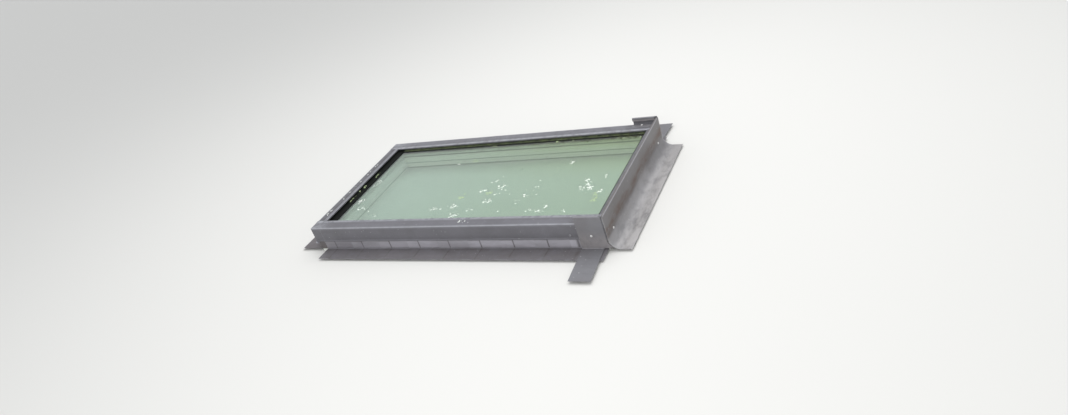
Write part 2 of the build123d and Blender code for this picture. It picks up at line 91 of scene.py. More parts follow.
def spots(where, stretch=(1, 1, 1), scale=1, detail=2, rough=0.5, twist=0):  # noise, 0 to 1 round 0.5
    scaled = addNode("Mapping", {"Vector": where, "Scale": stretch}).outputs[0]
    inputs = {"Vector": scaled, "Scale": scale, "Detail": detail, "Roughness": rough, "Distortion": twist}
    return addNode("TexNoise", inputs).outputs["Fac"]


def painted(tree, name):  # a value between 0 and 1 that the piece's own mesh carries
    return addNode("Attribute", {}, tree, attribute_name=name).outputs["Fac"]


def bump(height, depth, after=None):  # depth is in metres for a height from 0 to 1
    inputs = {"Height": height, "Distance": depth, "Strength": 1}
    if after is not None:
        inputs["Normal"] = after
    return addNode("Bump", inputs).outputs[0]


def startMaterial(name):
    material = bpy.data.materials.new(name)
    material.use_nodes = True
    tree = material.node_tree
    where = addNode("TexCoord", {}, tree).outputs["Object"]
    return material, tree, tree.nodes["Principled BSDF"], where


# Coated sheet: layers over a base colour that drifts, each with its colour and strength. The mesh says where
# it is bleached, stained and worn, and where it carries painted highlight and painted shade, and noise breaks
# those places up
def coatedSheet(name, look):
    material, tree, shader, where = startMaterial(name)
    drift = smoothStep(spots(where, scale=7, detail=4, rough=0.55), 0.3, 0.7)
    colour = blendColour(drift, look["dark"], look["base"])
    chalk = smoothStep(spots(where, scale=26, detail=7, rough=0.66, twist=0.6), 0.5, 0.72)
    colour = overlay(colour, chalk, *look["chalk"])
    runs = spots(where, stretch=look["runStretch"], detail=5, rough=0.6)
    colour = overlay(colour, smoothStep(runs, 0.52, 0.8), *look["run"])
    patchy = spots(where, stretch=look["patchStretch"], detail=6, rough=0.64)
    bleach = product(painted(tree, "bleach"), smoothStep(patchy, 0.3, 0.6, look["patchLow"]))
    colour = overlay(colour, bleach, *look["bleach"])
    streaks = spots(where, stretch=look["stainStretch"], detail=6, rough=0.62)
    stain = product(painted(tree, "stain"), smoothStep(streaks, 0.38, 0.62, look["stainLow"]))
    colour = overlay(colour, stain, *look["stain"])
    grit = spots(where, scale=420, detail=3, rough=0.7)
    colour = overlay(colour, smoothStep(grit, 0.5, 0.8), *look["grit"])
    cells = addNode("TexVoronoi", {"Vector": where, "Scale": look["fleckScale"], "Randomness": 1})
    size = product(spots(where, scale=23, detail=2), look["fleckSize"])
    fleck = smoothStep(calc("SUBTRACT", cells.outputs["Distance"], size), -0.02, 0.02, 1, 0)
    colour = overlay(colour, fleck, *look["fleck"])
    # Worn places are lighter: wear, and the painted highlight of bends and cut edges
    rubbedAndHighlight = smoothStep(spots(where, scale=34, detail=4, rough=0.6), 0.3, 0.6, look["wornAndHighlightLow"])
    colour = overlay(colour, product(painted(tree, "wearAndHighlight"), rubbedAndHighlight), *look["wornAndHighlight"])
    dull = calc("ADD", smoothStep(grit, 0.3, 0.7, 0, 0.08), look["rough"])
    dull = calc("ADD", dull, product(stain, 0.15))
    waves = bump(spots(where, scale=4.5, detail=1), look["wave"])
    normal = bump(grit, 0.00004, waves)
    plug(shader, {"Base Color": colour, "Roughness": dull, "Metallic": look["metal"], "Normal": normal})
    return material


coverLook = {
    "base": (109, 108, 114), "dark": (100, 99, 104), "chalk": ((126, 126, 132), 0.25),
    "run": ((84, 81, 83), 0.3), "runStretch": (70, 9, 30),
    "bleach": ((176, 178, 184), 0.8), "patchStretch": (55, 55, 55), "patchLow": 0,
    "stain": ((76, 74, 76), 0.75), "stainStretch": (30, 12, 30), "stainLow": 0.3,
    "grit": ((146, 145, 148), 0.35), "fleck": ((205, 206, 204), 0.7), "fleckScale": 60, "fleckSize": 0.13,
    "wornAndHighlight": ((172, 173, 179), 0.75), "wornAndHighlightLow": 0.7, "rough": 0.36, "metal": 0.15, "wave": 0.0012,
}
coverPaint = coatedSheet("coverPaint", coverLook)
stepPaint = coatedSheet("stepPaint", {
    **coverLook, "base": (121, 118, 122), "dark": (110, 107, 110), "chalk": ((126, 126, 132), 0.5),
    "bleach": ((197, 194, 202), 0.9), "patchStretch": (20, 5, 20), "patchLow": 0.6,
    "stain": ((88, 82, 79), 0.8), "wornAndHighlight": ((172, 173, 179), 0.5), "rough": 0.45, "wave": 0.002,
})
apronPaint = coatedSheet("apronPaint", {
    **coverLook, "base": (113, 108, 111), "dark": (101, 96, 98), "stain": ((84, 76, 72), 0.75),
    "wornAndHighlight": ((172, 173, 179), 0.5), "rough": 0.45, "wave": 0.002,
})
headPaint = coatedSheet("headPaint", {
    **coverLook, "base": (118, 116, 117), "dark": (109, 106, 106), "run": ((92, 86, 84), 0.3),
    "runStretch": (9, 60, 60), "bleach": ((190, 187, 186), 0.8), "patchStretch": (14, 30, 30),
    "patchLow": 0.3, "stain": ((100, 80, 68), 0.95), "stainStretch": (16, 44, 44), "stainLow": 0.25,
    "wornAndHighlightLow": 0.6, "rough": 0.45, "wave": 0.0018,
})
legPaint = coatedSheet("legPaint", {
    **coverLook, "base": (126, 126, 130), "dark": (116, 114, 117), "bleach": ((172, 165, 164), 0.8),
    "patchLow": 0.55, "stain": ((58, 54, 54), 0.75), "fleckScale": 45, "wornAndHighlight": ((172, 173, 179), 0.6),
    "rough": 0.42, "wave": 0.0015,
})


plainLook = {"stretch": (1, 1, 1), "grainScale": 150, "rough": 0.5, "depth": 0.0001, "metal": 0, "level": 0.5,
             "lines": ()}


# Plain parts: a colour that drifts to another, a fine grain (on the sill gasket, painted glints), stain and
# painted shade where the mesh says so, and dark lines of painted shade and grime at given heights. What a
# look leaves out is as in plainLook
def plainFinish(name, given):
    look = {**plainLook, **given}
    material, tree, shader, where = startMaterial(name)
    drift = spots(where, stretch=look["stretch"], scale=look["scale"], detail=6, rough=0.62)
    colour = blendColour(smoothStep(drift, 0.3, 0.7), *look["drift"])
    grainAndGlints = spots(where, scale=look["grainScale"], detail=4, rough=0.65)
    colour = overlay(colour, smoothStep(grainAndGlints, 0.5, 0.75), *look["grainAndGlints"])
    colour = overlay(colour, painted(tree, "stain"), (58, 54, 50), 0.85)
    height = addNode("SeparateXYZ", {0: where}).outputs[2]
    # Dark lines at given heights: painted shade and grime
    for place in look["lines"]:
        away = calc("ABSOLUTE", calc("SUBTRACT", height, place))
        colour = overlay(colour, smoothStep(away, 0.001, 0.0055, 1, 0), *look["line"])
    rough = smoothStep(grainAndGlints, 0.2, 0.8, look["rough"] - 0.06, look["rough"] + 0.08)
    normal = bump(grainAndGlints, look["depth"])
    plug(shader, {"Base Color": colour, "Roughness": rough, "Metallic": look["metal"], "Normal": normal,
                  "Specular IOR Level": look["level"]})
    return material


# The rubber's fine grain is pale green specks: painted glints
gasketRubber = plainFinish("gasketRubber", {
    "drift": ((5, 7, 5), (11, 14, 10)), "scale": 18, "grainAndGlints": ((66, 78, 50), 0.16), "grainScale": 190,
    "rough": 0.45, "depth": 0.0002, "level": 0.06,
})
gasketDusty = plainFinish("gasketDusty", {
    "drift": ((24, 28, 22), (46, 52, 38)), "scale": 26, "grainAndGlints": ((118, 130, 74), 0.75),
    "grainScale": 110, "rough": 0.55, "depth": 0.0003, "level": 0.25,
})
gasketMossy = plainFinish("gasketMossy", {
    "drift": ((38, 43, 32), (76, 84, 58)), "scale": 30, "grainAndGlints": ((128, 138, 92), 0.6),
    "grainScale": 120, "rough": 0.6, "depth": 0.0003, "level": 0.25,
})
# Painted shade and grime lie as dark lines along the steps of the timber's section, at the heights of its
# lines in metres
timberLook = {"scale": 3, "grainAndGlints": ((218, 218, 210), 0.3), "grainScale": 90, "rough": 0.4, "depth": 0.0002}
jambTimber = plainFinish("jambTimber", {
    **timberLook, "drift": ((243, 244, 228), (251, 251, 238)), "stretch": (4, 1, 4),
    "line": ((128, 134, 122), 0.95), "lines": (0.066, 0.03, 0.003),
})
endTimber = plainFinish("endTimber", {
    **timberLook, "drift": ((238, 240, 235), (247, 248, 244)), "stretch": (1, 4, 4),
    "line": ((128, 134, 122), 0.6), "lines": (0.009,),
})
spacerMetal = plainFinish("spacerMetal", {
    "drift": ((170, 174, 172), (188, 191, 188)), "scale": 12, "grainAndGlints": ((130, 132, 130), 0.4),
    "grainScale": 300, "rough": 0.35, "depth": 0.00005, "metal": 0.8,
})
sealBlack = plainFinish("sealBlack", {
    "drift": ((26, 28, 27), (36, 37, 36)), "scale": 20, "grainAndGlints": ((60, 62, 58), 0.4), "rough": 0.6,
    "depth": 0.0002,
})
blockPlastic = plainFinish("blockPlastic", {
    "drift": ((60, 62, 64), (70, 72, 73)), "scale": 30, "grainAndGlints": ((90, 90, 88), 0.4), "grainScale": 260,
})
zincSteel = plainFinish("zincSteel", {
    "drift": ((150, 152, 150), (174, 176, 173)), "scale": 60, "grainAndGlints": ((120, 122, 122), 0.6),
    "grainScale": 160, "rough": 0.42, "depth": 0.00008, "metal": 0.85,
})
brightSteel = plainFinish("brightSteel", {
    "drift": ((228, 228, 226), (240, 240, 238)), "scale": 200, "grainAndGlints": ((176, 172, 166), 0.4),
    "grainScale": 500, "rough": 0.3, "depth": 0.00005, "metal": 0.4,
})
coatedSteel = plainFinish("coatedSteel", {
    "drift": ((138, 138, 142), (158, 158, 162)), "scale": 200, "grainAndGlints": ((112, 110, 110), 0.5),
    "grainScale": 500, "rough": 0.4, "depth": 0.00005, "metal": 0.3,
})
litterLook = {"scale": 300, "grainScale": 700, "rough": 0.6}
driedLeaf = plainFinish("driedLeaf", {
    **litterLook, "drift": ((228, 234, 226), (248, 250, 246)), "grainAndGlints": ((200, 204, 188), 0.5),
})
greenLeaf = plainFinish("greenLeaf", {
    **litterLook, "drift": ((172, 192, 138), (206, 220, 178)), "grainAndGlints": ((120, 140, 70), 0.5),
})
darkCrumb = plainFinish("darkCrumb", {
    **litterLook, "drift": ((46, 54, 34), (78, 84, 48)), "grainAndGlints": ((120, 126, 70), 0.5), "rough": 0.7,
})


# Glass: pale green under a dusty film. A look may add algae and moss beside the left gasket, each full at the
# first place across and gone at the second
def greenGlass(name, look):
    material, tree, shader, where = startMaterial(name)
    across, along = addNode("SeparateXYZ", {0: where}).outputs[:2]
    # The tint drifts along the slope, a little lighter at the low end: a painted reflection
    tint = blendColour(smoothStep(along, -0.6, 0.6), look["low"], look["high"])
    film = spots(where, scale=11, detail=8, rough=0.6, twist=0.4)
    tint = blendColour(smoothStep(film, 0.45, 0.75, 0, 0.35), tint, look["film"])
    if "algae" in look:
        crumbs = spots(where, stretch=(60, 16, 16), detail=7, rough=0.7)
        edge = product(smoothStep(across, *look["algaeEdge"], 1, 0),
                       smoothStep(along, -0.5, 0.6, 0.25))
        tint = overlay(tint, edge, look["algae"], smoothStep(crumbs, 0.38, 0.62))
        edge = smoothStep(across, *look["mossEdge"], 0.8, 0)
        tint = overlay(tint, edge, look["moss"], smoothStep(along, -0.3, 0.6))
    rough = smoothStep(film, 0.4, 0.8, 0, 0.06)
    plug(shader, {"Base Color": tint, "Roughness": rough, "Transmission Weight": 1, "IOR": 1.5})
    clear = addNode("BsdfTransparent", {"Color": tint}).outputs[0]
    path = addNode("LightPath", {}, tree).outputs["Is Shadow Ray"]
    mixed = addNode("MixShader", {0: path, 1: shader.outputs[0], 2: clear}).outputs[0]
    tree.links.new(mixed, tree.nodes["Material Output"].inputs["Surface"])
    return material


outerGlass = greenGlass("outerGlass", {
    "low": (229, 237, 233), "high": (227, 235, 229), "film": (222, 231, 225),
    "algae": (138, 152, 84), "algaeEdge": (-0.29, -0.24), "moss": (214, 224, 188), "mossEdge": (-0.29, -0.17),
})
innerGlass = greenGlass("innerGlass", {
    "low": (229, 237, 234), "high": (228, 236, 231), "film": (226, 235, 231),
})

finishOf = {  # the finish of every node whose name holds the word: the first one that fits counts
    "cover_screws": coatedSteel, "screws": brightSteel, "nails": brightSteel, "cover": coverPaint,
    "gasket_sill": gasketRubber, "gasket_jamb_left": gasketMossy, "gasket": gasketDusty,
    "outer_pane": outerGlass, "inner_pane": innerGlass, "spacer": spacerMetal, "seal": sealBlack,
    "tape": sealBlack, "blocks": blockPlastic, "frame_jamb": jambTimber, "frame": endTimber,
    "bracket": zincSteel, "head_flashing": headPaint, "sill_flashing": apronPaint, "step": stepPaint,
    "corner": legPaint,
}
for name, piece in nodes.items():
    piece.data.materials.clear()
    piece.data.materials.append(next(finish for word, finish in finishOf.items() if word in name))
print("finishes given to the frame")

mm = 0.001
marks = ("wearAndHighlight", "stain", "bleach")  # what a mesh says about its own surface, each from 0 to 1: wear, stains and bleaching, with painted highlight and painted shade among them
bendWearAndHighlight = 3.2  # wear and painted highlight of a sheet that turns by one radian in a millimetre
edgeGap, shortRun = 0.8, 3  # how close an extra point stands to an end, and runs too short for one
leftRight = ("left", "right")


# Shapes below are in millimetres. A shape is a dictionary: vertices, quads, triangles and the vertices' marks
def closedShape(vertices, quads, triangles, found):  # turned so that its faces look outward
    pieces = [triangles, quads[:, :3], quads[:, [0, 2, 3]]]
    corners = vertices[np.concatenate(pieces)]
    if np.sum(np.cross(corners[:, 0], corners[:, 1]) * corners[:, 2]) < 0:
        quads, triangles = quads[:, ::-1], triangles[:, ::-1]
    return {"vertices": vertices, "quads": quads, "triangles": triangles, **found}


def gridNormals(points):
    normals = np.cross(np.gradient(points, axis=0), np.gradient(points, axis=1))
    return normals / np.maximum(np.linalg.norm(normals, axis=2, keepdims=True), 1e-12)


def shell(points, thickness, wearAndHighlightShare=1, edgeWearAndHighlight=0.75, **found):
    # The grid, its copy moved by the thickness along its normals, and a rim between them. Wear, with the
    # painted highlight of bends and cut edges, is how tightly the grid bends, times its share, and another
    # amount on the cut edges
    rows, columns = points.shape[:2]
    normals = gridNormals(points)
    lengths = np.maximum(np.linalg.norm(np.diff(points, axis=1), axis=2), 0.2)
    turn = np.linalg.norm(np.diff(normals, axis=1), axis=2) / lengths
    wearAndHighlight = np.zeros((rows, columns))
    wearAndHighlight[:, :-1] = turn
    wearAndHighlight[:, 1:] = np.maximum(wearAndHighlight[:, 1:], turn)
    wearAndHighlight = np.clip(wearAndHighlight * bendWearAndHighlight, 0, 1) * wearAndHighlightShare
    wearAndHighlight[[0, -1], :], wearAndHighlight[:, [0, -1]] = edgeWearAndHighlight, edgeWearAndHighlight
    vertices = np.concatenate([points.reshape(-1, 3), (points + normals * thickness).reshape(-1, 3)])
    place, other = np.arange(rows * columns).reshape(rows, columns), rows * columns
    near = np.stack([place[:-1, :-1], place[1:, :-1], place[1:, 1:], place[:-1, 1:]], axis=-1).reshape(-1, 4)
    rim = np.concatenate([place[0, :-1], place[:-1, -1], place[-1, :0:-1], place[:0:-1, 0]])
    following = np.roll(rim, -1)
    between = np.stack([rim, following, following + other, rim + other], axis=-1)
    quads = np.concatenate([near, near[:, ::-1] + other, between])
    found = {name: np.tile(np.broadcast_to(values, (rows, columns)).ravel(), 2)
             for name, values in {**found, "wearAndHighlight": wearAndHighlight}.items()}
    return closedShape(vertices, quads, np.zeros((0, 3), int), found)


def ringSolid(rings, firstPole, lastPole, **found):
    # Rows of closed rings joined by quads, and a pole at each end joined by triangles
    rows, columns = rings.shape[:2]
    vertices = np.concatenate([rings.reshape(-1, 3), [firstPole, lastPole]])
    place = np.arange(rows * columns).reshape(rows, columns)
    after = np.roll(place, -1, axis=1)
    quads = np.stack([place[:-1], after[:-1], after[1:], place[1:]], axis=-1).reshape(-1, 4)
    first, last = np.full(columns, rows * columns), np.full(columns, rows * columns + 1)
    triangles = np.concatenate([np.stack([first, after[0], place[0]], axis=-1),
                                np.stack([last, place[-1], after[-1]], axis=-1)])
    found = {name: np.append(values.ravel(), [values[0, 0], values[-1, 0]]) for name, values in found.items()}
    return closedShape(vertices, quads, triangles, found)


def makePiece(name, shapes, material, replaced, bevel=0.2, sharpAngle=38):
    vertices = np.concatenate([shape["vertices"] for shape in shapes]) * mm
    starts = np.cumsum([0] + [len(shape["vertices"]) for shape in shapes[:-1]])
    faces = [face for kind in ("quads", "triangles") for shape, start in zip(shapes, starts)
             for face in (shape[kind] + start).tolist()]
    mesh = bpy.data.meshes.new(name)
    mesh.from_pydata(vertices, [], faces)
    for mark in marks:
        values = [shape.get(mark, np.zeros(len(shape["vertices"]))) for shape in shapes]
        layer = mesh.attributes.new(mark, "FLOAT", "POINT")
        layer.data.foreach_set("value", np.clip(np.concatenate(values), 0, 1).astype(np.float32))
    mesh.materials.append(material)
    mesh.shade_smooth()
    mesh.set_sharp_from_angle(angle=math.radians(sharpAngle))
    piece = bpy.data.objects.new(name, mesh)
    scene.collection.objects.link(piece)
    if bevel:
        softened = piece.modifiers.new("softEdges", "BEVEL")
        softened.width, softened.segments, softened.limit_method = bevel * mm, 1, "ANGLE"
        softened.angle_limit = math.radians(50)
    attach(piece, "root")
    if replaced:
        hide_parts(*replaced)
    return piece


def bentLine(corners, radii, longest=9, arcSteps=6):
    # Straight runs joined by arcs of the given radii. Points stand no further apart than longest, and one is
    # close to each end of every run
    corners = np.array(corners, float)
    runs = [corners[:1]]
    for before, middle, after, radius in zip(corners[:-2], corners[1:-1], corners[2:], radii):
        back = (before - middle) / np.linalg.norm(before - middle)
        onward = (after - middle) / np.linalg.norm(after - middle)
        halfAngle = math.acos(float(back @ onward)) / 2
        centre = middle + (back + onward) / np.linalg.norm(back + onward) * radius / math.sin(halfAngle)
        first = middle + back * radius / math.tan(halfAngle) - centre
        last = middle + onward * radius / math.tan(halfAngle) - centre
        turned, span = np.linspace(0, 1, arcSteps + 1)[:, None], math.pi - 2 * halfAngle
        arc = first * np.sin((1 - turned) * span) + last * np.sin(turned * span)
        runs.append(centre + arc / math.sin(span))
    line = np.vstack([*runs, corners[-1:]])
    lengths = np.linalg.norm(np.diff(line, axis=0), axis=1)
    parts = []
    for start, end, length in zip(line[:-1], line[1:], lengths):
        shares = np.linspace(0, 1, max(1, math.ceil(length / longest)), endpoint=False)
        if length > shortRun:
            shares = np.sort(np.append(shares, [edgeGap / length, 1 - edgeGap / length]))
        parts.append(start + shares[:, None] * (end - start))
    return np.vstack([*parts, line[-1:]])


def stations(start, end, step=12, extra=()):  # places along a piece, with one close to each end
    even = np.linspace(start, end, max(3, math.ceil((end - start) / step) + 1))
    return np.unique(np.concatenate([even, [start + edgeGap, end - edgeGap], extra]))


def onSide(side, outward, along, height):  # distance outward, place along a side and height, as x, y and z
    axes = {"right": (outward, along, height), "left": (-outward, along, height),
            "head": (along, outward, height), "sill": (along, -outward, height)}
    return np.stack(np.broadcast_arrays(*axes[side]), axis=-1)


def facing(side, points):  # 1 where the grid's normals look away from the skylight on this side, or -1
    return math.copysign(1, np.sum(gridNormals(points)[:, 1] * onSide(side, 1, 0, 0)))


def ripple(seed, first, second, length):  # six crossing sine waves, each shorter and lower, about -1 to 1
    random = np.random.default_rng(seed)
    total = 0
    for step in range(6):
        heading, phase = random.uniform(0, 2 * math.pi, 2)
        across = first * math.cos(heading) + second * math.sin(heading)
        total = total + np.sin(across * 2 * math.pi * 1.45 ** step / length + phase) / 1.5 ** step
    return total / 2.2


def hump(value, middle, width):  # 1 in the middle and falling off like a bell
    return np.exp(-((value - middle) / width) ** 2)


def ramp(value, low, high):  # 0 below low, 1 above high, smooth between
    share = np.clip((value - low) / (high - low), 0, 1)
    return share * share * (3 - 2 * share)


# Covers: a skirt with a lip, a rolled rim, a flat strip, a raised bead and a fold down to the glass
cover = {
    "halfLength": 680, "halfWidth": 360, "rim": 118, "sheet": 1, "rimRadius": 3, "foldRadius": 1.5,
    "bead": 15, "beadRise": 1.2, "slope": 4, "foldDrop": 7, "skirtBottom": 52, "headBottom": 64,
    "lipHeight": 5, "lipKick": 2, "jambStrip": 57, "sillStrip": 48, "headStrip": 34, "gap": 0.3,
    "waviness": 0.22, "waveLength": 320, "bevel": 0.25,
    "curlRadius": 3.6, "curlWidth": 13, "curlSheet": 0.6, "curlTurns": 1.4,
    "beadChalkAndHighlight": {"left": 0.75, "right": 0.6, "sill": 0.4, "head": 0},
    "stripChalk": {"left": 0.15, "right": 0, "sill": 0, "head": 0},
    "cornerChalk": 0.5, "stripDirt": 0.04, "beadDirt": 0.5, "lipDirtAndShadow": 0.3, "sillDirt": 0.45,
    "headDirt": 0.75, "legShadow": (557, 13), "lipWearAndHighlight": 0.4,  # legShadow is a place along and a width of painted shadow
}
halfLength, halfWidth = cover["halfLength"], cover["halfWidth"]


def coverLine(outer, strip, bottom, kick, folded=True, skirtOnly=False):
    rim, top, inner = cover["rim"], cover["rim"] + cover["beadRise"], outer - strip
    corners, radii = [(outer, bottom)], []
    if kick:
        corners, radii = [(outer + kick, bottom), (outer, bottom + cover["lipHeight"])], [cover["foldRadius"]]
    if skirtOnly:
        return bentLine(corners + [(outer, rim - cover["rimRadius"])], radii)
    beadFoot = inner + cover["bead"]
    corners += [(outer, rim), (beadFoot, rim), (beadFoot - cover["slope"], top), (inner, top)]
    radii += [cover["rimRadius"], cover["slope"], cover["slope"]]
    if folded:
        corners.append((inner, top - cover["foldDrop"]))
        radii.append(cover["foldRadius"])
    return bentLine(corners, radii)


def coverShell(side, line, along, seed, strip):
    # The profile carried along, moved in and out by a low ripple. Dirt lies beside the bead and above the
    # lip, and painted shadow before the corner leg. The bead carries chalk and a painted highlight; the ends
    # next to the sill are chalky
    outward, height, along = line[None, :, 0], line[None, :, 1], along[:, None]
    points = onSide(side, outward, along, height)
    inwards = -facing(side, points)
    wave = ripple(seed, along + 0 * height, 2 * height + outward, cover["waveLength"]) * cover["waviness"]
    points = points + gridNormals(points) * wave[:, :, None]
    beadFoot = outward.max() - strip - cover["lipKick"] + cover["bead"]
    onTop = ramp(height, cover["rim"] - 2, cover["rim"] - 0.5)
    onBead = onTop * ramp(beadFoot - outward, 1, 4)
    onStrip = onTop - onBead
    stain = onStrip * (cover["stripDirt"] + cover["beadDirt"] * hump(outward, beadFoot + 4, 4))
    stain = stain + cover["lipDirtAndShadow"] * hump(height, cover["skirtBottom"] + 8, 6)
    # The bead is lightened: chalk and a painted highlight
    bleach = cover["beadChalkAndHighlight"][side] * onBead + cover["stripChalk"][side] * onStrip + 0 * along
    if side == "head":
        stain = stain + cover["headDirt"] * onTop
    elif side == "sill":
        stain = stain + cover["sillDirt"] * onStrip
    else:
        # Before the corner leg the top is darkened: painted shadow of the leg
        stain = stain + onTop * hump(along, *cover["legShadow"])
        bleach = bleach + onTop * cover["cornerChalk"] * ramp(-along, 560, 660)
    # Less wear and painted highlight low on the skirt and inside the bead
    low = 1 - (1 - cover["lipWearAndHighlight"]) * ramp(cover["skirtBottom"] + 14 - height, 0, 4)
    wearAndHighlightShare = low * np.where(outward < beadFoot + 2, 0.5, 1)
    return shell(points, inwards * cover["sheet"], wearAndHighlightShare, 0.7, stain=stain, bleach=bleach)


def curledCorner():
    # At the low right corner the lip's end is torn loose and rolled up
    turned = np.linspace(0, 2 * math.pi * cover["curlTurns"], 34)[None, :]
    tighter = turned / turned.max()
    radius = cover["curlRadius"] * (1 - 0.45 * tighter)
    share = np.linspace(0, 1, 8)[:, None]
    outward = halfWidth + 2.4 + radius * (1 - np.cos(turned)) + 1.2 * share
    height = cover["skirtBottom"] - 1 - radius * np.sin(turned) - 1.5 * share
    along = -halfLength + 0.6 + cover["curlWidth"] * share * (1 - 0.3 * tighter)
    points = onSide("right", outward, along, height)
    return shell(points, cover["curlSheet"], bleach=0.9 * ramp(turned, 2, 5) + 0 * along)


sillFold, headFold = halfLength - cover["sillStrip"], halfLength - cover["headStrip"]
strip, jambFold = cover["jambStrip"], halfWidth - cover["jambStrip"]
full, unfolded = (coverLine(halfWidth, strip, cover["skirtBottom"], cover["lipKick"], folded)
                  for folded in (True, False))
for seed, side in enumerate(leftRight, start=11):
    parts = [coverShell(side, full, stations(-sillFold, headFold), seed, strip),
             coverShell(side, unfolded, stations(-halfLength, -sillFold), seed, strip),
             coverShell(side, unfolded, stations(headFold, halfLength), seed, strip)]
    if side == "right":
        parts.append(curledCorner())
    makePiece("jambCover_" + side, parts, coverPaint, ["jamb_cover_" + side], cover["bevel"])
ends = (("sill", cover["sillStrip"], cover["skirtBottom"], cover["lipKick"]),
        ("head", cover["headStrip"], cover["headBottom"], 0))
reach, skirtEnd = jambFold - cover["gap"], halfWidth - cover["sheet"] - cover["gap"]
for seed, (side, strip, bottom, kick) in enumerate(ends, start=13):
    full = coverLine(halfLength, strip, bottom, kick)
    skirt = coverLine(halfLength, strip, bottom, kick, skirtOnly=True)
    parts = [coverShell(side, full, stations(-reach, reach), seed, strip),
             coverShell(side, skirt, stations(-skirtEnd, -reach), seed, strip),
             coverShell(side, skirt, stations(reach, skirtEnd), seed, strip)]
    makePiece(side + "Cover", parts, coverPaint, [side + "_cover"], cover["bevel"])
print("covers made")

# Step flashing: each angle laps over the one below, and its lower edge stands a little proud
step = {
    "inner": 353.3, "top": 80, "level": 8, "flange": 75, "bend": 2.8, "sheet": 0.8, "lapShift": 1,
    "count": 9, "first": -642, "pitch": 146, "lap": 54, "joggle": 2, "end": 673,
    "lift": 0.5, "liftLength": 14, "edgeWave": 0.9, "waveLength": 130,
    "bare": (14, 49), "dullEnd": (-642, -300),  # heights of the bare metal, and where it is duller
    "footDirt": 0.5, "lipDirtAndShadow": 0.9, "joggleDirt": 0.7, "legShadow": 559, "flangeDirt": 0.3,
}


def stepShell(side, start, end, seed):
    # The angle carried along, shifted out by a sheet over its lap. Bare metal shows between its foot and the
    # cover, duller near the sill. Dirt lies at the foot and in the joggle, and painted shadow below the
    # cover's lip and before the leg
    inner, level, jog = step["inner"], step["level"], start + step["lap"]
    edge = inner + step["flange"]
    line = bentLine([(inner, step["top"]), (inner, level), (edge, level)], [step["bend"]], longest=4)
    jogEnd = jog + step["joggle"]
    marked = (jog - 3, jog, jogEnd, jogEnd + 3, *step["legShadow"] + np.arange(-6, 9, 3))
    along = stations(start, end, extra=np.clip(marked, start, end))[:, None]
    shift = np.interp(along, [jog, jogEnd], [step["lapShift"], 0])
    lift = step["lift"] * np.clip(1 - (along - start) / step["liftLength"], 0, 1) ** 2
    outward, height = line[None, :, 0] + shift + lift, line[None, :, 1] + shift + lift
    outward = np.minimum(outward, edge)
    free = np.clip((outward - inner) / step["flange"], 0, 1) ** 2
    wave = ripple(seed, along, outward, step["waveLength"])
    height = height + free * wave * step["edgeWave"]
    ragged = 0.5 * ripple(seed + 7, along, 0 * outward, 90)
    outward = np.minimum(outward - (1 - free) * 0.15 * np.abs(wave) + free * ragged, edge)
    points = onSide(side, outward, along, height)
    upright = ramp(outward, inner + 3.5, inner + 2.5)
    bright = np.random.default_rng(seed).uniform(0.75, 1) * np.interp(start, step["dullEnd"], [0.4, 1])
    low, high = step["bare"]
    bleach = bright * upright * ramp(height, low - 4, low) * ramp(high - height, 0, 5)
    # Dark lines at the joggle, a joint, and before the leg, a painted shadow of the leg
    lines = np.maximum(hump(along, jog + 1, 1.8), 0.9 * hump(along, step["legShadow"], 6))
    # Dark just below the cover's lip: painted shadow
    stain = (step["footDirt"] * hump(height, 12, 5) + step["lipDirtAndShadow"] * hump(height, 48, 3)) * upright
    stain = stain + (1 - upright) * (step["flangeDirt"] + 0.4 * hump(outward, 360, 8))
    stain = stain + step["joggleDirt"] * lines
    thickness = facing(side, points) * step["sheet"]
    return shell(points, thickness, 0.7, stain=stain, bleach=bleach * (1 - lines))


for sideSeed, side in enumerate(leftRight, start=1):
    for number in range(step["count"]):
        start = step["first"] + step["pitch"] * number
        end = min(start + step["pitch"] + step["lap"] - step["joggle"], step["end"])
        makePiece(f"stepFlashing_{side}_{number + 1}", [stepShell(side, start, end, 100 * sideSeed + number)],
                  stepPaint, [f"step_flashing_{side}_{number + 1}"])
print("step flashing made")

# Sill flashing: upstand and apron in one fold, with a wavy toe, and a wing round each corner
apron = {
    "inner": 673.3, "top": 80, "level": 10, "end": 792, "toe": 8, "drop": 5, "bend": 2.8,
    "sheet": 0.8, "half": 354.1, "wingInner": 353.3, "wingEnd": 590, "edgeWave": 1.1, "waveLength": 190,
    "toeWave": 0.8, "dirt": 0.3, "footDirt": 0.5, "wingDirt": 0.4,
}
inner, level, end = apron["inner"], apron["level"], apron["end"]
corners = [(inner, apron["top"]), (inner, level), (end - apron["toe"], level), (end, level - apron["drop"])]
line = bentLine(corners, [apron["bend"]] * 2)
across, outward, height = stations(-apron["half"], apron["half"])[:, None], line[None, :, 0], line[None, :, 1]
free = np.clip((outward - inner) / (end - inner), 0, 1) ** 2
wave = ripple(41, across, outward, apron["waveLength"]) * apron["edgeWave"]
toe = np.abs(ripple(42, across, 0 * outward, 110)) * apron["toeWave"]
points = onSide("sill", outward - free * toe, across, height + free * wave)
stain = apron["dirt"] + apron["footDirt"] * hump(outward, inner + 8, 10) + 0 * across
parts = [shell(points, facing("sill", points) * apron["sheet"], 0.7, stain=stain)]
along = -stations(apron["wingEnd"], inner + apron["sheet"])[::-1, None]
height = stations(level, apron["top"], 10)[None, :]
for side in leftRight:
    points = onSide(side, apron["wingInner"] + 0 * height, along, height)
    stain = apron["wingDirt"] * (1 + hump(height, 12, 8)) + 0 * along
    parts.append(shell(points, facing(side, points) * apron["sheet"], stain=stain))
makePiece("sillFlashing", parts, apronPaint, ["sill_flashing"])

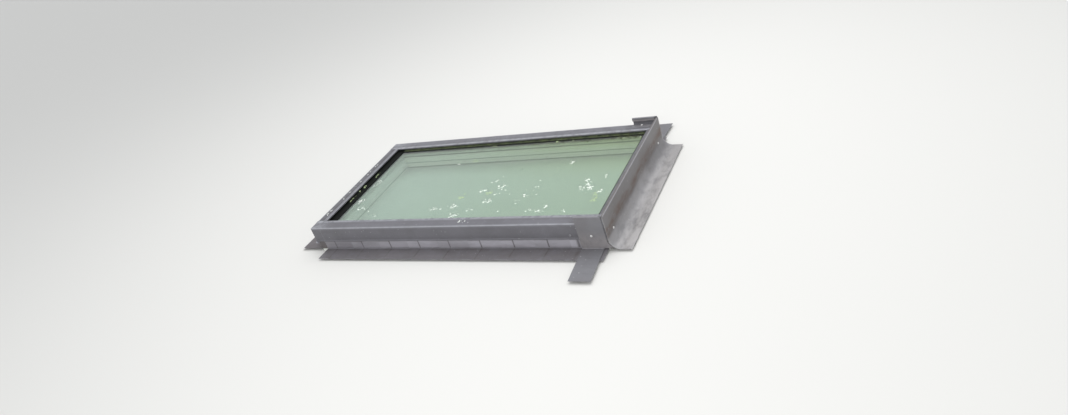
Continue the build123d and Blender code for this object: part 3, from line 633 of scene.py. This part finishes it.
# Head flashing: hem, wall, wide cove and flange. Brown water marks run along the middle of the wall, lime has
# paled the cove, and a dark line lies along the middle of the hem
head = {
    "wall": 681.1, "top": 144, "flangeTop": 8.8, "cove": 42, "flange": 38, "hemWidth": 8,
    "hemDrop": 12, "hemBend": 2.8, "sheet": 0.8, "half": 363.3, "hemHalf": 355.3, "edgeWave": 1,
    "waviness": 0.35, "waterWander": 9, "hemDirt": 0.6, "coveLime": 0.9, "wallLime": 0.35, "endHighlight": 0.8,
    "waterMark": (82, 19, 0.8),  # middle height, width and strength
}


def headShell(withHem, start, end):
    wall, top, hem, flangeTop = head["wall"], head["top"], head["wall"] - head["hemWidth"], head["flangeTop"]
    corners, radii = [(wall, top)], []
    if withHem:
        corners, radii = [(hem, top - head["hemDrop"]), (hem, top), (wall, top)], [head["hemBend"]] * 2
    corners += [(wall, flangeTop), (wall + head["cove"] + head["flange"], flangeTop)]
    line = bentLine(corners, radii + [head["cove"]], arcSteps=12)
    across, outward, height = stations(start, end)[:, None], line[None, :, 0], line[None, :, 1]
    free = np.clip((outward - wall - head["cove"]) / head["flange"], 0, 1)
    ragged = outward - free * 0.9 * np.abs(ripple(52, across, 0 * outward, 140))
    curled = height + free ** 2 * ripple(51, across, outward, 170) * head["edgeWave"]
    points = onSide("head", ragged, across, curled)
    normals = gridNormals(points)
    faced = 1 if np.sum(normals[:, -3, 2]) > 0 else -1
    wave = ripple(53, across, outward + height, 300) * head["waviness"] * np.clip((top - height) / 40, 0, 1)
    points = points + faced * normals * wave[:, :, None]
    middle, width, strength = head["waterMark"]
    middle = middle + head["waterWander"] * ripple(54, across, 0 * height, 420)
    stain = strength * hump(height, middle, width) + 0 * across
    stain = stain + head["hemDirt"] * hump(outward, wall - 4, 2) * (height > top - 1)
    lime = ramp(outward, wall + 6, wall + 28) * (0.8 + 0.2 * ripple(55, across, outward, 160))
    bleach = head["wallLime"] * ramp(middle - height, 14, 36) * ramp(across, -330, -60)
    bleach = bleach + head["coveLime"] * lime
    # A painted highlight runs along each end edge
    bleach = bleach + head["endHighlight"] * ramp(np.abs(across), head["half"] - 4.5, head["half"] - 2.5)
    onHem = outward - wall + head["hemWidth"] / 2
    # Wear and painted highlight: none on the hem's middle, light on its inner half, strong on its outer bend
    # and beyond
    wearAndHighlightShare = np.where(np.abs(onHem) < 2.4, 0, np.where(onHem < 0, 0.4, 0.85))
    return shell(points, -faced * head["sheet"], wearAndHighlightShare, stain=stain, bleach=bleach)


half, hemmed = head["half"], head["hemHalf"]
parts = [headShell(True, -hemmed, hemmed), headShell(False, -half, -hemmed), headShell(False, hemmed, half)]
makePiece("headFlashing", parts, headPaint, ["head_flashing"])

# Corner legs: a lip, a plate whose back edge follows the cove, a fold and a skewed tab over the roof
leg = {
    "outer": 363.3, "top": 148, "front": 571, "sheet": 1, "lipWidth": 8, "lipDrop": 13,
    "lipSetback": 8, "bend": 1.5, "tabTop": 11.3, "tabLength": 184, "tabWidth": 86, "skew": 4,
    "coveY": 723.1, "coveZ": 50.8, "edgeRadius": 45.3, "toe": 18, "lift": 1, "lipWave": 2.2,
    "foldDirt": 0.9, "tabDirt": 0.12, "plateLight": 0.6, "flapHighlight": 0.7,
}


def legShell(side):
    # The lip, plate, fold and tab as one bent line. Each of its points runs from the front edge to the back
    # edge: upright above the cove, an arc down to the toe, slanted to the fold and skewed along the tab
    outer, top, foot, front = leg["outer"], leg["top"], leg["tabTop"], leg["front"]
    lip = outer - leg["lipWidth"]
    corners = [(lip, top - leg["lipDrop"]), (lip, top), (outer, top), (outer, foot)]
    corners.append((outer + leg["tabLength"], foot))
    line = bentLine(corners, [leg["bend"]] * 3, longest=5)
    outward, height = line[:, 0], line[:, 1]
    edge = leg["coveY"] - leg["edgeRadius"]
    toeY = edge + leg["toe"]
    below = np.clip(leg["coveZ"] - height, 0, None)
    arc = leg["coveY"] - np.sqrt(np.maximum(leg["edgeRadius"] ** 2 - below ** 2, 0))
    toeZ = leg["coveZ"] - math.sqrt(leg["edgeRadius"] ** 2 - (leg["coveY"] - toeY) ** 2)
    tabEnd, foldZ = front + leg["tabWidth"], foot + leg["bend"]
    slanted = np.interp(height, [foldZ, toeZ], [tabEnd, toeY])
    back = np.where(height > toeZ, np.minimum(arc, toeY), slanted)
    back = np.where(outward < outer - 0.5, edge - leg["lipSetback"], back)
    onTab = np.clip(outward - outer - 4, 0, None)
    shift = onTab * math.tan(math.radians(leg["skew"]))
    back = np.where(outward > outer + 0.5, tabEnd, back) + shift
    share = np.unique(np.concatenate([np.linspace(0, 1, 18), [0.008, 0.96, 0.975, 0.992]]))[:, None]
    along = (front + shift)[None, :] + share * (back - front - shift)[None, :]
    outward, height = outward[None, :] + 0 * along, height[None, :] + 0 * along
    sag = leg["lift"] * np.clip(onTab / 180, 0, 1)[None, :] * (0.5 + 0.5 * ripple(61, along, outward, 120))
    onFlap = ramp(outer - outward, 5, 7) * ramp(top - height, 2, leg["lipDrop"])
    flapWave = ripple(62, along, 0 * along, 95)
    height = height + sag + onFlap * leg["lipWave"] * flapWave
    points = onSide(side, outward - onFlap * (1 + flapWave), along, height)
    away = np.sum(gridNormals(points)[:, line.shape[0] // 3] * onSide(side, 1, 0, 0))
    # Dirt lies along the fold, and painted shadow along the back edge. The plate's lower part carries painted
    # light, and the lip's flap a painted highlight
    onPlate = ramp(outer + 0.5 - outward, 0, 0.3)
    fromBack = (1 - share) * (back - front - shift)[None, :]
    stain = leg["foldDirt"] * hump(outward, outer + 3.5, 2.4) * (height < 14)
    # Along the back edge the plate is darkened: painted shadow of the gap beside the head flashing
    stain = stain + onPlate * ramp(4.5 - fromBack, 0, 2.5) + leg["tabDirt"] * (1 - onPlate)
    # The flap is lightened, most at its lower edge: painted highlight; the plate's lower part is lightened:
    # painted light
    flapEdgeHighlight = ramp(height, top - 9, top - 11.5)
    bleach = leg["plateLight"] * onPlate * ramp(100 - height, 0, 70)
    bleach = bleach + onFlap * (leg["flapHighlight"] + (1 - leg["flapHighlight"]) * flapEdgeHighlight)
    return shell(points, -math.copysign(leg["sheet"], away), 0.55, 0.35, stain=stain, bleach=bleach)


for side in leftRight:
    makePiece("cornerLeg_" + side, [legShell(side)], legPaint, ["corner_leg_" + side])

# Corner angles: an upright behind the leg and a plate with rounded corners on the jamb cover
angle = {
    "outer": 362.1, "level": 118.3, "upright": 20, "reach": 35, "corner": 14, "front": leg["front"],
    "back": 678, "bend": 1.5, "sheet": 1,
}
for side in leftRight:
    outer, level, corner = angle["outer"], angle["level"], angle["corner"]
    corners = [(outer, level + angle["upright"]), (outer, level), (outer - angle["reach"], level)]
    line = bentLine(corners, [angle["bend"]], longest=2)
    inset = np.clip(corner - (line[:, 0] - outer + angle["reach"]), 0, corner)
    trim = corner - np.sqrt(corner ** 2 - inset ** 2)
    share = np.unique(np.concatenate([np.linspace(0, 1, 16), [0.008, 0.992]]))[:, None]
    along = (angle["front"] + trim)[None, :] + share * (angle["back"] - angle["front"] - 2 * trim)[None, :]
    points = onSide(side, line[None, :, 0], along, line[None, :, 1])
    up = np.sum(gridNormals(points)[:, -2, 2])
    shape = shell(points, math.copysign(angle["sheet"], up))
    makePiece("cornerAngle_" + side, [shape], legPaint, ["corner_angle_" + side])
print("head flashing, legs and corner angles made")

# Screws and nails. Each is turned about its axis, from the middle of its head to its point
pan = {"shank": 2.2, "rim": 4.5, "top": 2.6, "thread": 0.55, "pitch": 1.8, "starts": 1}
screw = {
    "pan": pan, "flat": {**pan, "rim": 4.2, "top": 0},
    "nail": {"shank": 1.4, "rim": 4, "top": 1, "thread": 0.165, "pitch": 1.1, "starts": 0},
    "panRound": 1.8, "armWidth": 0.62, "armReach": 2.4, "armEdge": 0.3, "recess": 1.3, "tip": 4.5,
    "columns": 24,
}


def turnedFastener(place, axis, kind, length, seed):
    # Radius and height of each ring: the head's top with its cross recess, its rim, and the thread, a ridge
    # that climbs one pitch for each turn round and tapers at the tip. A nail has rings for a thread
    made = screw[kind]
    shank, rim, top, pitch = made["shank"], made["rim"], made["top"], made["pitch"]
    turned = np.linspace(0, 2 * math.pi, screw["columns"], endpoint=False)[None, :]
    flat = rim - (screw["panRound"] if kind == "pan" else 0.3)
    radius = np.linspace(0.3, flat, 4 if kind == "nail" else 10)[:, None] + 0 * turned
    height, recessed = top + 0 * radius, 0 * radius
    if kind != "nail":
        away = np.abs(radius * np.stack([np.cos(turned), np.sin(turned)]))
        narrow, near = (np.clip((screw[name] - away) / screw["armEdge"], 0, 1)
                        for name in ("armWidth", "armReach"))
        recessed = np.maximum(narrow[0] * near[1], narrow[1] * near[0])
        height = height - recessed * screw["recess"]
    if kind == "pan":
        quarter = np.linspace(0, math.pi / 2, 6)[1:]
        edge = [flat + (rim - flat) * np.sin(quarter), top - (rim - flat) * (1 - np.cos(quarter))]
        edge = np.vstack([np.stack(edge, axis=1), [(rim, 0.05), (rim - 0.2, 0), (shank, 0)]])
    elif kind == "nail":
        edge = np.array([(rim, top - 0.25), (rim, 0.15), (rim - 0.2, 0), (shank, 0)])
    else:
        edge = np.array([(rim, -0.05), (rim - 0.1, -0.15), (shank, shank - rim)])
    start = edge[-1, 1] - 1
    down = np.linspace(start, -length + screw["tip"] / 3, int((length + start) / pitch * 5))[:, None]
    phase = down / pitch - made["starts"] * turned / (2 * math.pi)
    ridge = 1 - np.abs(2 * (phase - np.floor(phase)) - 1)
    taper = np.clip((length + down) / screw["tip"], 0.12, 1)
    radius = np.vstack([radius, edge[:, :1] + 0 * turned, (shank - made["thread"] * (1 - ridge)) * taper])
    height = np.vstack([height, edge[:, 1:] + 0 * turned, down + 0 * turned])
    # The cross recess is darkened: painted shade
    stain = np.zeros_like(radius)
    stain[:len(recessed)] = recessed
    place, axis = np.array(place), np.array(axis, float)
    first = np.cross(axis, (0.3, 0.5, 0.81))
    first = first / np.linalg.norm(first)
    second = np.cross(axis, first)
    spin = (turned + np.random.default_rng(seed).uniform(0, math.pi))[:, :, None]
    around = np.cos(spin) * first + np.sin(spin) * second
    rings = place + radius[:, :, None] * around + height[:, :, None] * axis
    return ringSolid(rings, place + axis * height[0, 0], place - axis * length, stain=stain)


def fasteners(name, node, kind, length, places, material=brightSteel):
    shapes = [turnedFastener(*place, kind, length, seed) for seed, place in enumerate(places, start=71)]
    makePiece(name, shapes, material, [node], bevel=0, sharpAngle=50)


def mirrored(axis, *places):  # each place and its axis on the left side, and then on the right
    return [((hand * x, y, z), (hand * axis[0], *axis[1:])) for hand in (-1, 1) for x, y, z in places]


# The middle of each head, on what it holds. The nail's y counts from the start of its step flashing
fixings = {
    "leg": (leg["outer"], 621.6, 67), "jambCover": (halfWidth, 538, 69),
    "sillCover": (250, -halfLength, 69), "head": (297, head["wall"], 56.3),
    "angle": (347, 611, angle["level"] + angle["sheet"]), "bracket": (353, 450, 42), "besideBracket": 18,
    "frame": (333, 673), "frameHeights": (18, 55), "nail": (step["inner"] + step["sheet"], 74, 72),
}
fasteners("legScrews", "leg_screws", "pan", 38, mirrored((1, 0, 0), fixings["leg"]))
fasteners("coverScrews", "cover_screws", "pan", 38,
          mirrored((1, 0, 0), fixings["jambCover"]) + mirrored((0, -1, 0), fixings["sillCover"]), coatedSteel)
fasteners("angleScrews", "angle_screws", "pan", 28, mirrored((0, 0, 1), fixings["angle"]))
fasteners("headScrews", "head_flashing_screws", "pan", 38, mirrored((0, 1, 0), fixings["head"]))
x, row, z = fixings["bracket"]
places = [(x, y + hand * fixings["besideBracket"], z) for y in (-row, 0, row) for hand in (-1, 1)]
fasteners("bracketScrews", "bracket_screws", "flat", 28, mirrored((1, 0, 0), *places))
x, y = fixings["frame"]
places = [place for end in (-1, 1)
          for place in mirrored((0, end, 0), *[(x, end * y, z) for z in fixings["frameHeights"]])]
fasteners("frameScrews", "frame_screws", "flat", 90, places)
x, y, z = fixings["nail"]
places = [(x, step["first"] + step["pitch"] * number + y, z) for number in range(step["count"])]
fasteners("flashingNails", "flashing_nails", "nail", 26, mirrored((1, 0, 0), *places))
print("screws and nails made")

# Litter on the glass, the sill gasket's lip and the covers. A heap is its middle x, y, its spreads and count
litter = {
    "glassTop": 106.4, "lipTop": 108.2, "coverTop": 118.3, "inside": 282, "thickness": 0.35,
    "lengths": (2.5, 13), "slimness": (0.3, 0.6),
    "dried": [(205, -35, 22, 24, 24), (270, 5, 14, 20, 22), (215, -120, 20, 26, 14), (235, 60, 14, 30, 12),
              (100, 45, 14, 14, 15), (175, 115, 14, 18, 18), (70, 130, 18, 18, 14), (25, 85, 8, 8, 4),
              (180, 255, 12, 20, 9), (145, 270, 10, 12, 8), (250, 335, 10, 10, 8), (255, 375, 12, 20, 18),
              (225, 395, 12, 14, 8), (255, 480, 10, 12, 6), (50, 505, 12, 12, 16), (80, 520, 14, 14, 18),
              (110, 500, 16, 16, 20), (110, 535, 20, 18, 24), (135, 580, 14, 12, 12), (25, 575, 12, 12, 8),
              (-95, 380, 14, 16, 10), (-135, -185, 12, 16, 6), (-15, -560, 22, 22, 18),
              (195, -520, 30, 40, 18), (250, -410, 12, 20, 4), (140, -560, 34, 20, 24),
              (120, 200, 120, 200, 40)],
    "green": [(140, -35, 18, 16, 22), (110, 95, 14, 14, 16), (-160, -110, 12, 14, 10), (180, 580, 24, 16, 26),
              (150, 570, 18, 14, 14), (-270, 560, 8, 60, 16), (-275, 250, 6, 120, 12), (-280, -75, 4, 20, 6)],
    "dark": [(-65, 530, 5, 5, 1), (-60, 300, 5, 5, 1), (0, 340, 5, 5, 1), (-60, 165, 5, 5, 1),
             (-275, 575, 16, 70, 44), (-275, 380, 12, 190, 26), (-280, -200, 8, 260, 16)],
    "onLip": [(-75, -615, 24, 6, 12), (105, -620, 60, 5, 10), (15, -620, 30, 5, 5)],
    "onCover": [(330, 85, 16, 30, 6), (300, -5, 3, 3, 1), (250, -662, 50, 8, 9), (80, -662, 90, 8, 12),
                (-150, -662, 110, 8, 12)],
}


def flake(x, y, length, width, base, seed):
    # A pointed patch: its half width is a root of 1 minus the square of the place along it, and it curls up
    random = np.random.default_rng(seed)
    share, across = np.linspace(-1, 1, 7)[:, None], np.linspace(-1, 1, 5)[None, :]
    half = width / 2 * np.sqrt(1 - 0.9 * share ** 2) * (1 + 0.25 * ripple(seed, share, 0, 1.1))
    ahead, aside = share * length / 2 + 0 * across, across * half + 0.1 * length * share ** 2
    heading = random.uniform(0, math.pi)
    lift = 0.06 + 0.5 * random.uniform() * (share ** 2 + 0.6 * across ** 2)
    points = np.stack([x + ahead * math.cos(heading) - aside * math.sin(heading),
                       y + ahead * math.sin(heading) + aside * math.cos(heading), base + lift], axis=-1)
    up = np.sum(gridNormals(points)[:, :, 2])
    return shell(points, math.copysign(litter["thickness"], up), 0)


heaps = (("driedFlakes", "dried", driedLeaf, "glassTop"), ("greenFlakes", "green", greenLeaf, "glassTop"),
         ("darkFlakes", "dark", darkCrumb, "glassTop"), ("coverFlakes", "onCover", driedLeaf, "coverTop"),
         ("lipFlakes", "onLip", greenLeaf, "lipTop"))
for heapSeed, (name, kind, material, level) in enumerate(heaps, start=2):
    random = np.random.default_rng(heapSeed)
    middles = np.repeat(litter[kind], [count for *_, count in litter[kind]], axis=0)
    places = middles[:, :2] + random.normal(0, 0.5, (len(middles), 2)) * middles[:, 2:4]
    if level == "glassTop":
        places[:, 0] = places[:, 0].clip(-litter["inside"], litter["inside"])
    shortest, longest = litter["lengths"]
    lengths = shortest + (longest - shortest) * random.uniform(0, 1, len(middles)) ** 3
    widths = lengths * random.uniform(*litter["slimness"], len(middles))
    shapes = [flake(*place, length, width, litter[level], 100 * heapSeed + number)
              for number, (place, length, width) in enumerate(zip(places, lengths, widths))]
    makePiece(name, shapes, material, [], bevel=0, sharpAngle=60)
print("litter laid")

# Studio: a pale floor before a pale background, one wide lamp overhead and a soft one from the right
studio = {
    "floorSize": 60, "floorDrop": 0.0005, "floor": srgb(226, 225, 221), "backdrop": srgb(236, 236, 233),
    "sky": srgb(238, 240, 243), "skyStrength": 0.9,
    "overhead": ((-0.6, 0.4, 3.2), 3, 60), "side": ((3, 1.2, 1.6), 1.6, 18),  # place, size and power
}
half = studio["floorSize"] / 2
floorMesh = bpy.data.meshes.new("studioFloor")
corners = [(-half, -half, 0), (half, -half, 0), (half, half, 0), (-half, half, 0)]
floorMesh.from_pydata(corners, [], [(0, 1, 2, 3)])
studioFloor = bpy.data.objects.new("studioFloor", floorMesh)
studioFloor.location.z = -studio["floorDrop"]
scene.collection.objects.link(studioFloor)
floorPaint, tree, shader, where = startMaterial("floorPaint")
plug(shader, {"Base Color": studio["floor"], "Roughness": 0.9})
floorMesh.materials.append(floorPaint)

world = bpy.data.worlds.new("studioWorld")
scene.world = world
world.use_nodes = True
tree = world.node_tree
sky = tree.nodes["Background"]
plug(sky, {"Color": studio["sky"], "Strength": studio["skyStrength"]})
path = addNode("LightPath", {}, tree)
seen = calc("MAXIMUM", path.outputs["Is Camera Ray"], path.outputs["Is Transmission Ray"])
backdrop = addNode("Background", {"Color": studio["backdrop"], "Strength": 1}, tree).outputs[0]
mixed = addNode("MixShader", {0: seen, 1: sky.outputs[0], 2: backdrop}).outputs[0]
tree.links.new(mixed, tree.nodes["World Output"].inputs["Surface"])


def pointAt(name, data, place, target, roll=0):
    # An object that looks from its place to its target, level and then rolled by an angle in degrees
    back = np.array(place) - np.array(target)
    back = back / np.linalg.norm(back)
    level = np.cross([0, 0, 1], back)
    level = level / np.linalg.norm(level)
    turned = math.radians(roll)
    right = level * math.cos(turned) + np.cross(back, level) * math.sin(turned)
    turn = np.column_stack([right, np.cross(back, right), back])
    pointed = bpy.data.objects.new(name, data)
    pointed.matrix_world = Matrix.Translation(place) @ Matrix(turn.tolist()).to_4x4()
    scene.collection.objects.link(pointed)
    return pointed


for name in ("overhead", "side"):
    lampData = bpy.data.lights.new(name + "Lamp", "AREA")
    place, lampData.size, lampData.energy = studio[name]
    pointAt(name + "Lamp", lampData, place, (0, 0, 0))

# Camera: where the photograph was taken from, in the part's own frame, rolled as it is against the roof
cameraLook = {"place": (2.420, 1.772, 1.553), "target": (0.220, 0.341, 0.100), "roll": -19.22, "lens": 26.62,
              "sensor": 36}
camera = pointAt("camera", bpy.data.cameras.new("camera"), cameraLook["place"], cameraLook["target"],
                 cameraLook["roll"])
camera.data.lens = cameraLook["lens"]
camera.data.sensor_fit = "HORIZONTAL"
camera.data.sensor_width = cameraLook["sensor"]
scene.camera = camera
scene.view_settings.view_transform = "Standard"
print("studio and camera set")
